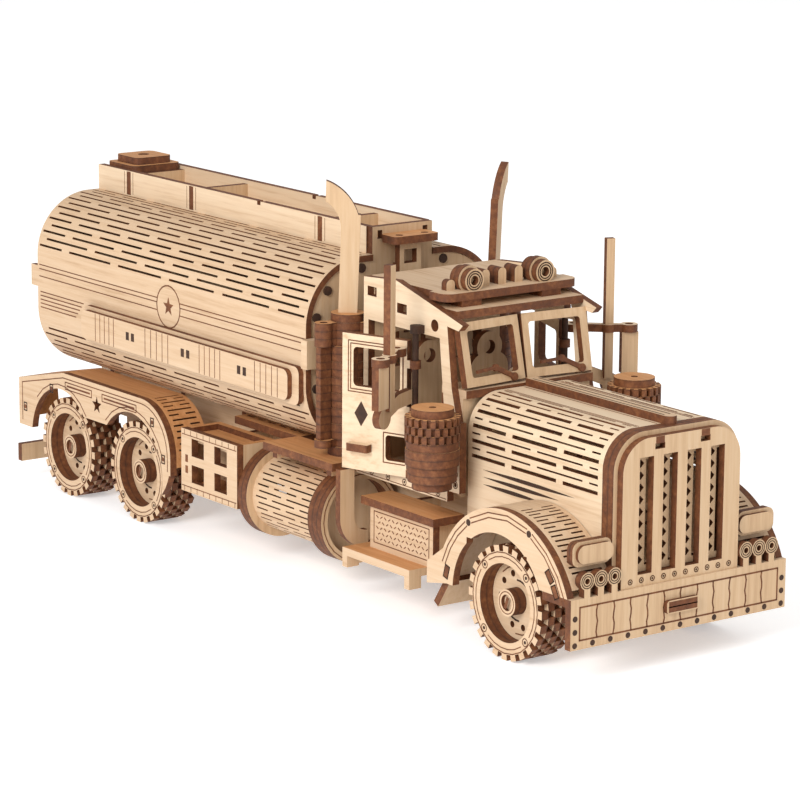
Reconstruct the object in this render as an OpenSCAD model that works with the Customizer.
// Wooden three-dimensional jigsaw model of a tanker truck, laser-cut from thin plywood sheet.
// +X is the front of the truck, +Y its left side, +Z up. The origin is on the ground, midway
// between the truck's front and rear ends, and midway between its two sides.

/* [Sheet] */
// Thickness of the plywood sheet
ply = 2; // [1.8:0.1:2.2]

/* [Body] */
// Length from the bumper's front face to the rear fenders
truck_length = 249; // [249:0.5:252]
// Width over the bumper and the fenders
body_width = 66.8; // [66:0.2:68]

/* [Wheels] */
// Radius over the tread teeth
wheel_radius = 14; // [13.6:0.1:14]
// Number of tread teeth on a wheel
tread_teeth = 24; // [16:2:28]
// Radius of the axle dowels
axle_radius = 2; // [1.8:0.1:2.2]
// Clearance between an axle and its bearing holes
axle_clearance = 0.06; // [0.04:0.01:0.1]
// Front axle, from the origin
front_axle_x = 97; // [96.5:0.5:97.5]
// Middle axle, from the origin
middle_axle_x = -65; // [-65.5:0.5:-64.5]
// Rear axle, from the origin
rear_axle_x = -101.6; // [-102:0.2:-101.4]

/* [Cab] */
// Width over the cab's side plates
cab_width = 43.8; // [43.4:0.2:44]
// Half of the hood's width
hood_half_width = 19.3; // [19:0.1:19.4]
// Height of the hood's top sheet
hood_top = 57.8; // [57.4:0.1:58]

/* [Doors] */
// Length of a door from its hinge pin
door_reach = 21; // [20:0.1:21]
// Angle by which both doors stand open
door_open = 20; // [5:1:30]
// Radius of the door's hinge pin
pin_radius = 0.8; // [0.7:0.05:0.9]

/* [Tank] */
// Width of the tank
tank_width = 61; // [60:0.2:61.4]
// Height of the tank from its underside to its top
tank_height = 49; // [48.6:0.2:49]
// Radius of the tank's corners
tank_corner = 17; // [16:0.5:18]
// Front end of the tank shell
tank_front = 14; // [13.5:0.1:14]
// Rear end of the tank shell
tank_rear = -118; // [-119:0.5:-117]

/* [Exhaust] */
// Height of the exhaust pipes' tips
stack_top = 105.6; // [100:0.2:108]

/* [Hidden] */
$fn = 48;

half_length = truck_length / 2;
half_width = body_width / 2;
skin = 1.6;                 // bent sheets are thinner than the flat ones
glue = 0.1;                 // gap left for glue round a plate that sits inside another

// Chassis levels
rail_outer = 8.5;
rail_bottom = 19;
rail_top = 32;
shelf_bottom = 19.2;
shelf_top = shelf_bottom + ply;
tank_bottom = rail_top + 2.6;
tank_top = tank_bottom + tank_height;
deck_top = 35;
tank_half = tank_width / 2;

// Wheels
wheel_face = 31;            // outer face of a wheel, from the centre line
wheel_layers = 5;
rim_radius = 9.6;
axle_half = 29.5;

// Cab and its doors
cab_half = cab_width / 2;
cab_rear = 27;
floor_bottom = rail_top;
hinge_x = 51;
hinge_y = cab_half + 1.7;
cowl_bottom = 56.6;
door_bottom = 34.4;
door_top = 68.8;

// Hood and front
hood_rear = 67;
hood_front = 118;
hood_corner = 9;
grille_face = hood_front + 3 * ply;
fender_radius = 26;
fender_centre = [99, 11.5];
arch_radius = 17.3;

// Round pieces beside and behind the cab
cleaner_at = [68.9, 31.7];
muffler_at = [21.8, 23.1];
muffler_radius = 5.2;

// Wood tones: sheet face, and the browner tone of laser-cut edges.
birch = [0.93, 0.80, 0.60];
burnt = [0.45, 0.26, 0.13];

// ---------- helpers ----------

// A sheet across X, its front face at x; the outline is drawn in Y and Z.
module sheet_x(x, t = ply) {
    translate([x - t, 0, 0]) rotate([90, 0, 90]) linear_extrude(t) children();
}

// A sheet across Y, from y to y + t; the outline is drawn in X and Z.
module sheet_y(y, t = ply) {
    translate([0, y + t, 0]) rotate([90, 0, 0]) linear_extrude(t) children();
}

// A sheet across Z, its underside at z; the outline is drawn in X and Y.
module sheet_z(z, t = ply) {
    translate([0, 0, z]) linear_extrude(t) children();
}

// The children on the right side and their mirror image on the left.
module both_sides() {
    children();
    mirror([0, 1, 0]) children();
}

module rect(x0, x1, y0, y1) {
    translate([x0, y0]) square([x1 - x0, y1 - y0]);
}

// A rectangle with all four corners round.
module round_rect(x0, x1, y0, y1, r) {
    rect(x0 + r, x1 - r, y0, y1);
    rect(x0, x1, y0 + r, y1 - r);
    for (x = [x0 + r, x1 - r], y = [y0 + r, y1 - r]) translate([x, y]) circle(r);
}

// A rectangle with only its two upper corners round.
module arched_rect(half_w, y0, y1, r) {
    rect(-half_w, half_w, y0, y1 - r);
    rect(-half_w + r, half_w - r, y0, y1);
    for (s = [-1, 1]) translate([s * (half_w - r), y1 - r]) circle(r);
}

// A straight bar of width w from point a to point b.
module bar(a, b, w) {
    d = b - a;
    translate(a) rotate(atan2(d[1], d[0])) translate([0, -w / 2]) square([norm(d), w]);
}

module disc_at(p, r) {
    translate(p) circle(r);
}

module star(r) {
    polygon([for (i = [0:9]) let (q = i % 2 == 0 ? r : 0.42 * r) q * [sin(36 * i), cos(36 * i)]]);
}

// A toothed disc outline, starting half a pitch round when half_step is 1.
module toothed(r_out, r_root, teeth, half_step = 0, share = 0.56) {
    pitch = 360 / teeth;
    polygon([for (i = [0:teeth - 1], k = [0:3])
        let (a = pitch * (i + half_step / 2 + (k < 2 ? -share / 2 : share / 2)),
             r = (k == 0 || k == 3) ? r_root : r_out)
        r * [cos(a), sin(a)]]);
}

// ---------- chassis ----------

// Two long rails, dropped at the nose, with ears that carry the three axles.
module chassis_rails() {
    color(birch) both_sides() sheet_y(-rail_outer) difference() {
        union() {
            rect(-120, 108, rail_bottom, rail_top);
            rect(front_axle_x - 5, half_length - ply, 11, shelf_bottom);
            for (x = [middle_axle_x, rear_axle_x]) {
                rect(x - 5, x + 5, wheel_radius, rail_bottom);
                translate([x, wheel_radius]) circle(5);
            }
            translate([front_axle_x, wheel_radius]) circle(5);
        }
        for (x = [front_axle_x, middle_axle_x, rear_axle_x])
            translate([x, wheel_radius]) circle(axle_radius + axle_clearance);
    }
}

// Plates between the rails, and brackets outside them for the deck, toolboxes, drums and steps.
module cross_members() {
    inner = rail_outer - ply;
    color(birch) {
        for (x = [-112, -82, -50, -20, 10, 44, 82, 106])
            sheet_x(x) rect(-inner, inner, 21, 30);
        both_sides() {
            for (x = [2, 26]) sheet_x(x) rect(rail_outer, 31, 30.8, deck_top - ply);
            for (x = [-33, -18]) sheet_x(x) rect(rail_outer, 21, 18, 29);
            for (x = [0, 14]) sheet_x(x) rect(rail_outer, 11.4, 15, 22);
            for (at = [[42, 14.6], [64, 16.6]]) sheet_x(at[0]) rect(rail_outer, 25.5, at[1], 25.6);
        }
    }
}

module tank_saddles() {
    color(birch) for (x = [-106, -69, -39, 9])
        sheet_x(x) rect(-13, 13, rail_top, tank_bottom);
}

// Front deck that reaches round the cab's rear corners, and the slotted rear deck.
module deck_plates() {
    slot_groups = [-31, -26, -21, -16, -11, -7.5];
    color(birch) {
        sheet_z(deck_top - ply) {
            rect(14.5, cab_rear - 0.2, -half_width, half_width);
            for (s = [-1, 1]) mirror([0, s < 0 ? 1 : 0]) {
                rect(-1, cab_rear - 0.2, 22, half_width);
                rect(-1, hinge_x - door_reach - 0.3, hinge_y + 0.6, half_width);
            }
        }
        sheet_z(rail_top) difference() {
            rect(-34, -4, -20, 20);
            for (i = [0:len(slot_groups) - 1], s = [-1, 1], k = [-1:1])
                if (k != 0 || i % 2 == 1)
                    translate([slot_groups[i], s * 14.5 + 2.2 * k]) square([3, 0.9], center = true);
        }
    }
}

module rear_bar() {
    color(birch) {
        sheet_x(-half_length + 1) rect(-half_width, half_width, 6, 11);
        both_sides() sheet_y(-rail_outer) rect(-half_length + 1, -114, 9, rail_bottom);
    }
}

// ---------- rear fenders ----------

fender_top = 35.8;
fender_front = -45.1;
fender_nose = 14.4;

// Outline of the rear fender, drawn in by inset: flat top, round nose and sloping rear.
module rear_fender_outline(inset = 0) {
    translate([fender_front - fender_nose, fender_top - fender_nose]) circle(fender_nose - inset);
    polygon([[-half_length + inset, 17], [-half_length + inset, 30.5 - inset],
             [-100.3, fender_top - inset], [fender_front - fender_nose, fender_top - inset],
             [fender_front - fender_nose, 17]]);
    rect(-62, fender_front - inset, 17, fender_top - fender_nose);
}

module rear_fender_sides() {
    color(birch) both_sides() sheet_y(-half_width) difference() {
        rear_fender_outline();
        for (x = [middle_axle_x, rear_axle_x]) translate([x, wheel_radius + 1]) circle(15.9);
        rect(-96, -70, 16, 25.2);
        translate([-82.3, 29.8]) star(2.5);
    }
}

// The bent strip under the fender's outline, between two lengths.
module rear_fender_strip(x0, x1) {
    both_sides() sheet_y(-half_width + ply, half_width - ply - 21) intersection() {
        difference() {
            rear_fender_outline();
            rear_fender_outline(skin);
        }
        rect(x0, x1, 19, 40);
    }
}

module rear_fender_tops() {
    color(birch) rear_fender_strip(-100.3, fender_front - fender_nose);
}

module rear_fender_curves() {
    color(birch) {
        rear_fender_strip(-half_length, -100.3);
        rear_fender_strip(fender_front - fender_nose, fender_front);
    }
}

// ---------- tank ----------

module tank_profile(inset = 0) {
    round_rect(-tank_half + inset, tank_half - inset, tank_bottom + inset, tank_top - inset,
               tank_corner - inset);
}

// Bent skin, notched at the front of its top for the bulkhead's neck.
module tank_shell() {
    color(birch) difference() {
        sheet_x(tank_front, tank_front - tank_rear) difference() {
            tank_profile();
            tank_profile(skin);
        }
        sheet_x(tank_front + 1, 3.7) rect(-9.6, 9.6, tank_top - 3, tank_top + 1);
    }
}

module tank_bulkheads() {
    neck_top = 90.6;
    color(birch) {
        for (x = [tank_front - 0.5, -52, tank_rear + 2.5])
            sheet_x(x) tank_profile(skin + glue);
        sheet_x(tank_front - 0.5) difference() {
            rect(-9.5, 9.5, tank_top - 4, neck_top);
            for (s = [-1, 1]) translate([7.2 * s, 88.5]) square([1.6, 2.2], center = true);
        }
    }
}

// Ends of the round pegs that join the front bulkhead's layers.
module tank_pegs() {
    spots = [[13, 80.4], [23.6, 75.6], [27, 69], [27, 50.6], [23.6, 42.6], [13, 37.8]];
    color(burnt) both_sides() for (p = spots)
        sheet_x(tank_front, 0.5) disc_at(p, 1.2);
}

// Blocks that hold the skin's flat sides at the front bulkhead, and short tabs at the rear.
module tank_side_tabs() {
    color(birch) both_sides() {
        sheet_y(-tank_half - 1.5, 4.5) rect(tank_front, tank_front + 2.6, 56.6, 64);
        sheet_y(-tank_half, skin) rect(tank_rear - 3.5, tank_rear, 57.5, 63.5);
    }
}

// Long two-layer boxes along the tank's sides, below the bands.
module tank_side_boxes() {
    color(birch) both_sides() {
        sheet_y(-tank_half - 1.5, 1.5) round_rect(-91, 13, 46.6, 56.6, 2);
        sheet_y(-half_width, 1.4) round_rect(-90, 10, 47.6, 55.6, 2);
    }
}

rack_top = 90.6;

module rack_walls() {
    color(birch) both_sides() sheet_y(-10) difference() {
        rect(tank_rear, tank_front - 2.5, tank_top, rack_top);
        rect(-38, -36.4, rack_top - 1, rack_top + 1);
    }
}

module rack_dividers() {
    color(birch) for (x = [tank_rear + 2, -101, -69, -8])
        sheet_x(x) rect(-8, 8, tank_top, rack_top - 1);
}

// Stacked hatch lids on the rear compartment.
module hatches() {
    color(birch) {
        sheet_z(rack_top - 1) round_rect(-117, -102.5, -7.9, 7.9, 2);
        sheet_z(rack_top + 1) difference() {
            round_rect(-115.5, -104, -6, 6, 2);
            translate([-110, 0]) circle(1.6);
        }
    }
}

// Short ladder in front of the tank, with a landing at its head.
module ladder() {
    color(birch) {
        sheet_x(17) difference() {
            rect(-3.4, 3.4, 60, 86.6);
            for (z = [63, 69, 75, 81]) rect(-2, 2, z, z + 3.6);
        }
        sheet_z(86.6) difference() {
            round_rect(tank_front - 0.5, 20, -7, 7, 1);
            for (s = [-1, 1]) translate([17.6, 4 * s]) circle(1);
        }
        for (z = [66.8, 78.8]) sheet_z(z) rect(tank_front - 0.5, 15, -3, 3);
    }
}

// ---------- toolboxes and drums under the decks ----------

box_rear = -39.6;
box_front = -13;
box_bottom = 14.5;
box_top = 31.5;

module toolbox_sides() {
    color(birch) both_sides() sheet_y(-half_width) difference() {
        rect(box_rear, box_front, box_bottom, box_top);
        for (x = [-34.6, -23.7], z = [17.4, 24.6]) rect(x, x + 5.9, z, z + 4.8);
    }
}

module toolbox_panels() {
    outer = half_width - ply;
    color(birch) both_sides() {
        for (x = [box_rear + ply, box_front]) sheet_x(x) rect(-outer, -21, box_bottom, box_top);
        sheet_y(-23) rect(box_rear + ply, box_front - ply, box_bottom, box_top);
        for (z = [box_bottom, box_top - 3.5])
            sheet_z(z) rect(box_rear + ply, box_front - ply, -outer, -23);
    }
}

drum_at = [21.4, 18.6];
drum_radius = 12;

// Layered end rings; the front one holds a head set back inside it.
module drum_rings() {
    inner = drum_radius - 2;
    color(birch) both_sides() {
        sheet_x(-8.7, 4) difference() {
            disc_at([-drum_at[0], drum_at[1]], drum_radius);
            disc_at([-drum_at[0], drum_at[1]], 4);
        }
        sheet_x(25, 6) difference() {
            disc_at([-drum_at[0], drum_at[1]], drum_radius);
            disc_at([-drum_at[0], drum_at[1]], inner);
        }
        sheet_x(20.6, skin) disc_at([-drum_at[0], drum_at[1]], inner);
    }
}

module drum_barrels() {
    color(birch) both_sides() sheet_x(19, 27.7) difference() {
        disc_at([-drum_at[0], drum_at[1]], 10);
        disc_at([-drum_at[0], drum_at[1]], 10 - skin);
    }
}

// Upper tread, riser, and slatted lower tread on short legs.
module steps() {
    color(birch) both_sides() {
        sheet_z(25.6) rect(36, 66, -29, -19.5);
        sheet_y(-27.5) rect(38, 64, 14.6, 25.6);
        difference() {
            sheet_z(12.6) rect(34, 62, -33.2, -20);
            for (i = [0:4]) sheet_z(12) rect(36.5, 59.5, -32 + 2 * i, -31.4 + 2 * i);
        }
        for (x = [36, 62]) sheet_x(x) rect(-33.2, -29.5, 9.6, 12.6);
    }
}

// ---------- cab ----------

// Side plate outline: sloping roof line with a visor tip, and the leaning windshield edge.
module cab_side_outline() {
    difference() {
        polygon([[cab_rear, 34], [cab_rear, 81.2], [40.6, 82.2], [67.7, 75.1], [66, 73.5],
                 [61.5, 74], [63.5, 59], [66, 50], [66, 34]]);
        polygon([[29, 36], [49.5, 36], [49.5, 50], [60.5, 54], [58.5, 70.6], [29, 70.6]]);
        rect(28.6, 32.4, 76.7, 79.1);
        rect(41, 45, 74.2, 76.7);
        translate([56.5, 73.4]) circle(1.5);
    }
}

module cab_sides() {
    color(birch) both_sides() sheet_y(-cab_half) cab_side_outline();
}

// Back wall, floor, firewall and the cowl in front of the windshield.
module cab_panels() {
    inner = cab_half - ply;
    color(birch) {
        sheet_x(cab_rear + ply) difference() {
            rect(-inner, inner, floor_bottom, 79.3);
            for (s = [-1, 1]) translate([9 * s, 62]) square([10, 9], center = true);
        }
        sheet_z(floor_bottom) rect(cab_rear + ply, 65.5, -inner, inner);
        sheet_x(65.5) rect(-inner, inner, floor_bottom + ply, cowl_bottom);
        sheet_z(cowl_bottom) rect(57, hood_rear - 0.2, -inner, inner);
    }
}

// Riveted strips along the sills and up the front posts.
module sill_strips() {
    color(birch) both_sides() sheet_y(-cab_half - ply) difference() {
        union() {
            rect(cab_rear, 64.8, 31.2, 33.9);
            rect(64.8, 69.6, 34, 51.5);
        }
        for (i = [0:5]) translate([68, 36 + 2.7 * i]) circle(0.55);
    }
}

// Two leaning panes, each turned a little so that they meet in a shallow vee.
module windshield_frames() {
    pane_w = 19.7;
    pane_h = 15.9;
    edge = 2.2;
    color(birch) both_sides()
        translate([65.2, 0, 59.3]) rotate([0, 0, 4.9]) rotate([0, -12.4, 0]) sheet_x(0)
            difference() {
                rect(-pane_w, -0.3, 0, pane_h);
                round_rect(-pane_w + edge, -edge, edge, pane_h - edge, 0.8);
            }
}

// One wiper against a pane: a pivot at y, an arm and a blade that reach along dir.
module wiper(y, dir) {
    pivot = [y, 0.9];
    elbow = [y + 5.7 * dir, 3.8];
    bar(pivot, elbow, 1.1);
    bar(elbow, [y + 12 * dir, 3.5], 0.8);
    disc_at(pivot, 1);
    disc_at(elbow, 0.9);
}

// Both wipers lean the same way, towards the right side of the cab.
module wipers() {
    color(birch) for (left = [0, 1]) mirror([0, left, 0])
        translate([65.2, 0, 59.3]) rotate([0, 0, 4.9]) rotate([0, -12.4, 0]) sheet_x(0.8, 0.8)
            wiper(left ? -16.4 : -4.3, left ? 1 : -1);
}

roof_top = 81.3;

// Upper roof plate with a wider round-cornered brow, and the plate below it.
module roof_plates() {
    inner = cab_half - ply - glue;
    color(birch) {
        sheet_z(roof_top - ply) {
            rect(cab_rear, 54, -inner, inner);
            intersection() {
                round_rect(44, 59.6, -21, 21, 3);
                rect(53, 60, -22, 22);
            }
        }
        sheet_z(75.6) rect(cab_rear + ply, 62.6, -inner, inner);
        for (s = [-1, 1]) sheet_z(77.6, roof_top - ply - 77.6) {
            rect(50, 59, s * 12.5 - 3, s * 12.5 + 3);
            rect(32, 40, s * 12.5 - 3, s * 12.5 + 3);
        }
    }
}

// Round lamps of three layers on the brow, the middle one wider.
module roof_lamps() {
    color(birch) both_sides() difference() {
        union() {
            sheet_x(58.2) disc_at([-11.1, 83.7], 2.9);
            sheet_x(56.2) disc_at([-11.1, 83.7], 3.5);
            sheet_x(54.2) disc_at([-11.1, 83.7], 3.1);
        }
        sheet_x(60, 3.8) disc_at([-11.1, 83.7], 1.2);
        sheet_z(70, roof_top - 70) rect(50, 60, -20, 0);
    }
}

module roof_horns() {
    color(birch) {
        for (y = [-5.2, 0, 5.2]) translate([0, y, 0]) sheet_x(55, 4.5)
            arched_rect(1.25, roof_top, roof_top + 4.1, 1.2);
        both_sides() sheet_x(55, 2) translate([-16, 0]) arched_rect(1.3, roof_top, roof_top + 2.6, 1.2);
    }
}

// Two seats: a cushion plate on a box, and a backrest with a ring-shaped head.
module seats() {
    color(birch) for (s = [-1, 1]) translate([0, 9.5 * s, 0]) {
        sheet_z(42) round_rect(38, 51, -6, 6, 1.5);
        for (x = [41, 50]) sheet_x(x) rect(-5, 5, 34, 42);
        sheet_x(38.2) difference() {
            union() {
                arched_rect(6, 42, 60, 4);
                disc_at([0, 61.5], 4);
            }
            disc_at([0, 61.5], 1.8);
        }
    }
}

module dashboard() {
    color(birch) {
        sheet_x(59) difference() {
            rect(-cab_half + ply, cab_half - ply, 34, cowl_bottom);
            for (y = [4.5, 14.5]) disc_at([y, 52], 1.6);
            rect(-14, -5, 48, 53);
        }
    }
}

// Steering wheel on its leaning column, on the left.
module steering_wheel() {
    color(birch) translate([56, 9.5, 51.4]) rotate([0, -62, 0]) {
        cylinder(r = 0.9, h = 6);
        translate([0, 0, 6]) linear_extrude(1.5) {
            difference() {
                circle(5.4);
                circle(4.3);
            }
            for (a = [90, 210, 330]) rotate(a) translate([0, -0.6]) square([4.6, 1.2]);
            circle(1.5);
        }
    }
}

// Door hinge pins with the lugs that hold them to the cab's sides.
module hinge_pins() {
    lug = 1.4;
    color(burnt) both_sides() {
        for (z = [48, 70.8]) sheet_z(z) {
            disc_at([hinge_x, -hinge_y], lug);
            rect(hinge_x - 0.6, hinge_x + lug, -hinge_y, -cab_half);
        }
        translate([hinge_x, -hinge_y, 48]) cylinder(r = pin_radius, h = 24.8);
    }
}

// ---------- hood ----------

module hood_profile(inset = 0) {
    arched_rect(hood_half_width - inset, 22, hood_top - inset, hood_corner - inset);
}

module hood_cover() {
    color(birch) sheet_x(hood_front, hood_front - hood_rear) difference() {
        hood_profile();
        hood_profile(skin);
        rect(-hood_half_width + skin, hood_half_width - skin, 20, 24);
    }
}

// Two formers inside the hood and the double frame behind the grille.
module hood_formers() {
    color(birch) {
        for (x = [74, 96]) sheet_x(x) difference() {
            intersection() {
                hood_profile(skin + glue);
                rect(-20, 20, rail_top, hood_top);
            }
            rect(-11, 11, rail_top - 1, 48);
        }
        sheet_x(hood_front + 2 * ply, 2 * ply) difference() {
            union() {
                hood_profile();
                rect(-hood_half_width, hood_half_width, shelf_top, 23);
            }
            rect(-15.5, 15.5, 24, 52.5);
        }
    }
}

module hood_ridge() {
    color(birch) sheet_z(hood_top) {
        rect(hood_rear, 119, -1.7, 1.7);
        translate([119, 0]) circle(1.7);
    }
}

grille_slots = [-10.95, -3.65, 3.65, 10.95];

// Front plate with four tall slots, tab notches above and a rivet row below.
module grille() {
    color(birch) sheet_x(grille_face) difference() {
        arched_rect(18.1, shelf_top, 56.6, 8);
        for (y = grille_slots) rect(y - 2.15, y + 2.15, 24.1, 52.1);
        for (y = [-7, 7]) rect(y - 1.5, y + 1.5, 53.6, 55);
    }
}

// Strips of open diamonds that show through the grille's slots.
module grille_lattice() {
    color(birch) sheet_x(hood_front + 2 * ply - 0.2, 1.6) difference() {
        rect(-15.4, 15.4, 24.1, 52.4);
        for (y = [-14.5, -7.3, 0, 7.3, 14.5]) rect(y - 2, y + 2, 25.6, 50.9);
        for (y = grille_slots, i = [0:8])
            translate([y, 26.9 + 2.9 * i]) rotate(45) square(1.5, center = true);
    }
}

// ---------- front ----------

module bumper() {
    color(birch) sheet_x(half_length) rect(-half_width, half_width, 9.1, shelf_bottom);
}

// Shelf on the bumper; narrow between the wheels, full width in front of them.
module bumper_shelf() {
    color(birch) sheet_z(shelf_bottom) {
        rect(108, half_length, -20.2, 20.2);
        rect(114, half_length, -half_width, half_width);
    }
}

// Three lollipop-shaped lamps on each end of the shelf.
module bumper_lamps() {
    color(birch) both_sides() for (y = [-28.6, -24.5, -20.4]) sheet_x(half_length) difference() {
        union() {
            rect(y - 0.9, y + 0.9, shelf_top, 25);
            disc_at([y, 25.1], 2.1);
        }
        disc_at([y, 25.1], 0.7);
    }
}

module tow_hook() {
    color(birch) {
        sheet_x(half_length + 1, 1) round_rect(-5, 5, 13.6, 16.8, 0.8);
    }
}

module headlights() {
    color(birch) both_sides() for (k = [0:1])
        sheet_x(hood_front + 2 * ply + k * 0.9, 0.9 + (1 - k) * 1.1)
            round_rect(-31.2 + k, -hood_half_width - 0.2, 28 + k * 0.8, 34 - k * 0.8, 2);
}

// Fender side: a broad arch with a flared tail behind and a short one in front.
module front_fender_outline() {
    difference() {
        union() {
            intersection() {
                translate(fender_centre) circle(fender_radius);
                rect(60, 130, shelf_top + 0.01, 40);
            }
            intersection() {
                translate(fender_centre) circle(fender_radius);
                rect(60, 95, 14.8, 40);
            }
            polygon([[69.4, 13.3], [69.5, 18.9], [75.7, 23.2], [79, 20], [77.3, 14.8]]);
        }
        translate([front_axle_x, wheel_radius]) circle(arch_radius);
        rect(85, 108, 10, 28);
    }
}

module front_fender_sides() {
    color(birch) both_sides() sheet_y(-half_width) front_fender_outline();
}

// Bent sheet over the arch and the rib along its inner edge.
module front_fender_covers() {
    inner = hood_half_width + 0.2;
    color(birch) both_sides() sheet_y(-half_width + ply, half_width - ply - inner) difference() {
        intersection() {
            translate(fender_centre) circle(fender_radius);
            union() {
                rect(60, 99, 15.5, 40);
                rect(98, 130, 22.8, 40);
            }
        }
        translate(fender_centre) circle(fender_radius - skin);
    }
}

module mud_flaps() {
    color(birch) both_sides() translate([76, 0, 14.4]) rotate([0, 33, 0])
        sheet_x(0) rect(-half_width + ply, -hood_half_width, -8.4, 0);
}

// ---------- round stacks beside and behind the cab ----------

// Ten stacked discs on two bracket plates, with three gear-shaped layers near the top.
module air_cleaners() {
    base = 36.5;
    radii = [4.9, 6.0, 6.1, 6.6, 6.6, 6.4, 6.8, 6.8, 6.8, 5.2];
    at = [cleaner_at[0], -cleaner_at[1]];
    color(birch) both_sides() for (i = [0:9]) sheet_z(base + ply * i) difference() {
        union() {
            translate(at) {
                if (i > 5 && i < 9) toothed(radii[i], radii[i] - 1.1, 20, i % 2);
                else circle(radii[i]);
            }
            if (i == 1 || i == 4)
                polygon([[53.4, -cab_half], [53.4, -25.4], [64, -36], [70, -32], [63, -cab_half]]);
        }
        if (i == 9) translate(at) circle(0.9);
    }
}

// Muffler: a column of discs between two clamps that reach the cab's rear corner.
module mufflers() {
    at = [muffler_at[0], -muffler_at[1]];
    eye = at + [-0.6, -7];
    column_bottom = 39.4;
    column_top = 63.4;
    color(birch) both_sides() {
        sheet_z(deck_top, 2.4) disc_at(at, 5);
        for (i = [0:11]) sheet_z(column_bottom + ply * i) disc_at(at, i % 2 == 0 ? 5 : muffler_radius);
        for (z = [column_bottom - ply, column_top, column_top + ply, column_top + 2 * ply])
            sheet_z(z) difference() {
                union() {
                    disc_at(at, 4.4);
                    bar(at, eye, 3.2);
                    disc_at(eye, 2.3);
                    rect(at[0], cab_rear, -22.4, -20.2);
                }
                if (z > column_bottom) disc_at(eye, 1);
            }
        sheet_z(column_top + 3 * ply) disc_at(at, 4.3);
        sheet_z(column_bottom, column_top - column_bottom) translate(eye)
            square([2, 3.2], center = true);
    }
}

// Tall pipe plates with a hooked tip on the mufflers, and the elbow pipes under the deck.
module exhaust_stacks() {
    base = 71.4;
    height = stack_top - base;
    color(birch) both_sides() {
        translate([muffler_at[0], -muffler_at[1], base]) rotate([0, 3, 0]) rotate([0, 0, 53])
            sheet_y(-ply / 2) {
                rect(-2.4, 2.4, 0, height - 9);
                intersection() {
                    difference() {
                        translate([-10.6, height - 13]) circle(13);
                        translate([-10.6, height - 13]) circle(8.2);
                    }
                    rect(-6.5, 2.4, height - 13, height);
                }
            }
        sheet_x(33) {
            rect(-33.2, -28.9, 21.5, deck_top - 1);
            intersection() {
                difference() {
                    translate([-25, 21.5]) circle(8.2);
                    translate([-25, 21.5]) circle(3.9);
                }
                rect(-33.2, -24.6, 13, 21.5);
            }
        }
    }
}

// ---------- running gear ----------

// A wheel of five toothed layers, its outer face at y = 0 and the rest behind it.
module wheel() {
    root = wheel_radius - 1.5;
    holes = 10;
    for (k = [0:wheel_layers - 1]) sheet_y(k * ply) difference() {
        toothed(wheel_radius, root, tread_teeth, k % 2);
        if (k < 2) circle(rim_radius);
        if (k > 2 && k < 4) circle(rim_radius);
        if (k == 2 || k == 4) circle(axle_radius);
        if (k == 2) for (i = [0:holes - 1]) rotate(360 * i / holes) translate([6.6, 0]) circle(0.8);
    }
    sheet_y(0.5, 2 * ply - 0.5) difference() {
        circle(3.3);
        circle(axle_radius);
    }
}

module wheel_pair(x) {
    color(birch) both_sides() translate([x, -wheel_face, wheel_radius]) wheel();
}

module axle(x) {
    color(birch) translate([x, axle_half, wheel_radius]) rotate([90, 0, 0])
        cylinder(r = axle_radius, h = 2 * axle_half);
}

module front_wheels() {
    wheel_pair(front_axle_x);
}

module middle_wheels() {
    wheel_pair(middle_axle_x);
}

module rear_wheels() {
    wheel_pair(rear_axle_x);
}

module front_axle() {
    axle(front_axle_x);
}

module middle_axle() {
    axle(middle_axle_x);
}

module rear_axle() {
    axle(rear_axle_x);
}

// ---------- doors and mirrors ----------

// The children, drawn round the right door's pin with the door closed, swung open.
module on_right_door() {
    translate([hinge_x, -hinge_y, 0]) rotate([0, 0, door_open]) children();
}

// Door drawn round its pin: window, front notch, handle and two knuckles.
module door() {
    front = -1.8;
    color(birch) {
        sheet_y(-1) difference() {
            rect(-door_reach, front, door_bottom, door_top);
            round_rect(-door_reach + 3.3, front - 2, 55.7, 65.6, 1.2);
            round_rect(-door_reach + 13, front + 3, 38, 44.4, 1);
        }
        sheet_z(39.5) round_rect(-door_reach + 2.6, -door_reach + 9, -3.4, -1, 0.6);
        for (z = [50.3, 62]) sheet_z(z) difference() {
            union() {
                circle(1.4);
                rect(front, 0, -1, 1);
            }
            circle(pin_radius + 0.06);
        }
    }
}

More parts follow.
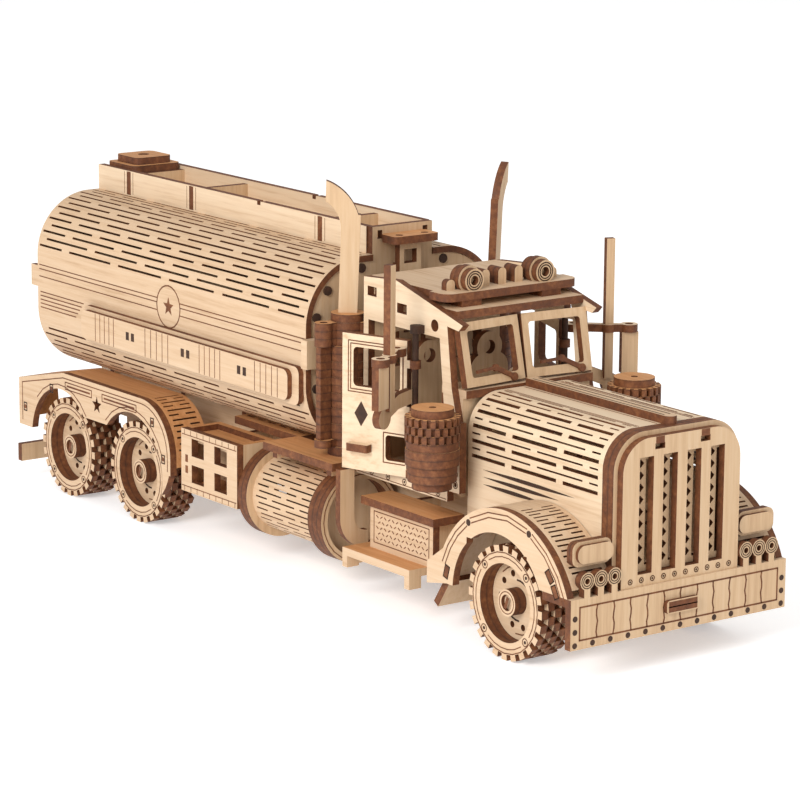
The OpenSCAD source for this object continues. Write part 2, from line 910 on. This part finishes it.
// Mirror drawn round the door's pin: two arms, a tall post and the mirror plate.
module mirror_assembly() {
    inner = [-3.4, -3.6];
    post = [0, -11.6];
    outer = [1, -16.9];
    color(birch) {
        sheet_z(65.4) difference() {
            union() {
                rect(-5.6, -2.4, inner[1], -1);
                disc_at(inner, 2.6);
                bar(inner, post, 2.2);
                disc_at(post, 1.8);
                bar(post, outer, 2);
                disc_at(outer, 2.2);
            }
            disc_at(inner, 1.2);
            disc_at(outer, 1.1);
        }
        sheet_x(post[0] + 1) rect(post[1] - 1.1, post[1] + 1.1, 53.4, 89.5);
        sheet_x(outer[0] + 1) rect(outer[1] - 2.2, outer[1] + 2.2, 54.8, 65.4);
        sheet_x(-0.2) {
            polygon([[-1, 53.4], [-1, 57], [-7, 56.6], [-13, 54.2], [-15.6, 51.6], [-10.4, 51.6],
                     [-7, 53]]);
            disc_at([-13, 51.6], 2.6);
        }
    }
}

module right_door() {
    on_right_door() door();
}

module left_door() {
    mirror([0, 1, 0]) on_right_door() door();
}

module right_mirror() {
    on_right_door() mirror_assembly();
}

module left_mirror() {
    mirror([0, 1, 0]) on_right_door() mirror_assembly();
}

chassis_rails();
cross_members();
tank_saddles();
deck_plates();
rear_bar();
rear_fender_sides();
rear_fender_tops();
rear_fender_curves();
tank_shell();
tank_bulkheads();
tank_pegs();
tank_side_tabs();
tank_side_boxes();
rack_walls();
rack_dividers();
hatches();
ladder();
toolbox_sides();
toolbox_panels();
drum_rings();
drum_barrels();
steps();
cab_sides();
cab_panels();
sill_strips();
windshield_frames();
wipers();
roof_plates();
roof_lamps();
roof_horns();
seats();
dashboard();
steering_wheel();
hinge_pins();
hood_cover();
hood_formers();
hood_ridge();
grille();
grille_lattice();
bumper();
bumper_shelf();
bumper_lamps();
tow_hook();
headlights();
front_fender_sides();
front_fender_covers();
mud_flaps();
air_cleaners();
mufflers();
exhaust_stacks();
front_wheels();
middle_wheels();
rear_wheels();
front_axle();
middle_axle();
rear_axle();
right_door();
left_door();
right_mirror();
left_mirror();
